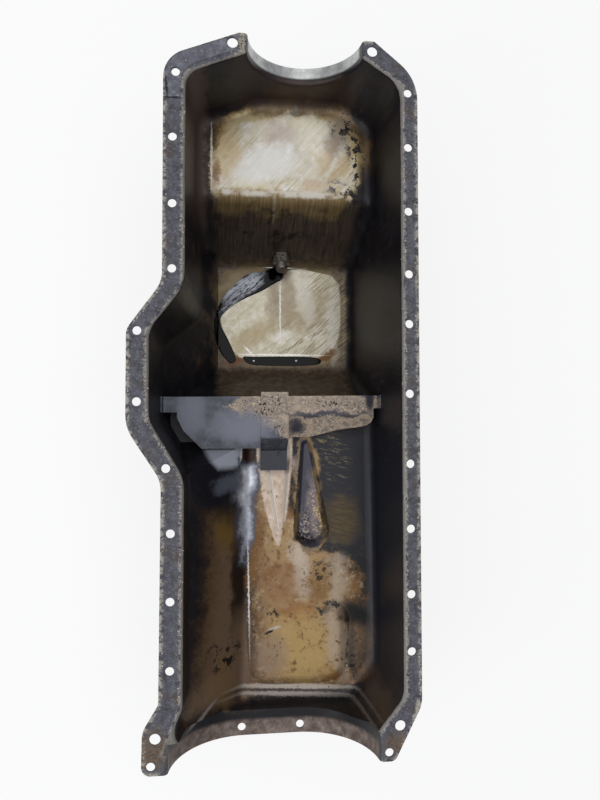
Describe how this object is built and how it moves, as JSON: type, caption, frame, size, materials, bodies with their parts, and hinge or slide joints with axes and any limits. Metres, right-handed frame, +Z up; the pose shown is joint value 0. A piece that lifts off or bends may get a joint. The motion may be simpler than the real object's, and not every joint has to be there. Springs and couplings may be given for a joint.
{
  "type": "engine oil pan",
  "caption": "Stamped steel oil pan for an in-line engine: deep sump with side bulge, shallow ends, bolted rail, seal saddles, internal baffle and drain plug.",
  "frame": {"origin": "on the gasket face, midway between the two long rows of rail bolts and at mid length", "axes": "+Z up out of the open side, +Y towards the rear main seal, +X to the right seen from the open side with the rear away; the pump bulge is on the -X side"},
  "size_m": [0.2751, 0.6849, 0.1896],
  "materials": {
    "oiled_pan_steel": "satin",
    "baffle_steel": "satin",
    "bung_steel": "satin",
    "plug_steel": "satin",
    "washer_brass": "satin",
    "old_gasket": "matte"
  },
  "bodies": {
    "pan": {"pan_shell": "oiled_pan_steel", "baffle_plate": "baffle_steel", "baffle_strap": "baffle_steel", "drain_bung": "bung_steel", "gasket_remnant": "old_gasket"},
    "washer": {"drain_plug_washer": "washer_brass"},
    "plug": {"drain_plug": "plug_steel"}
  },
  "joints": [
    {"name": "plug_travel", "type": "slide", "parent": "pan", "child": "washer", "axis": [0, 0.8772, -0.4801], "range_m": [0, 0.02159]},
    {"name": "plug_turn", "type": "hinge", "parent": "washer", "child": "plug", "pos_m": [0.003, 0.17359, -0.1693], "axis": [0, 0.8772, -0.4801], "range_deg": [0, 6120]}
  ],
  "couplings": [
    {"joint": "plug_turn", "follows": "plug_travel", "rad_per_m": 4947.4}
  ]
}
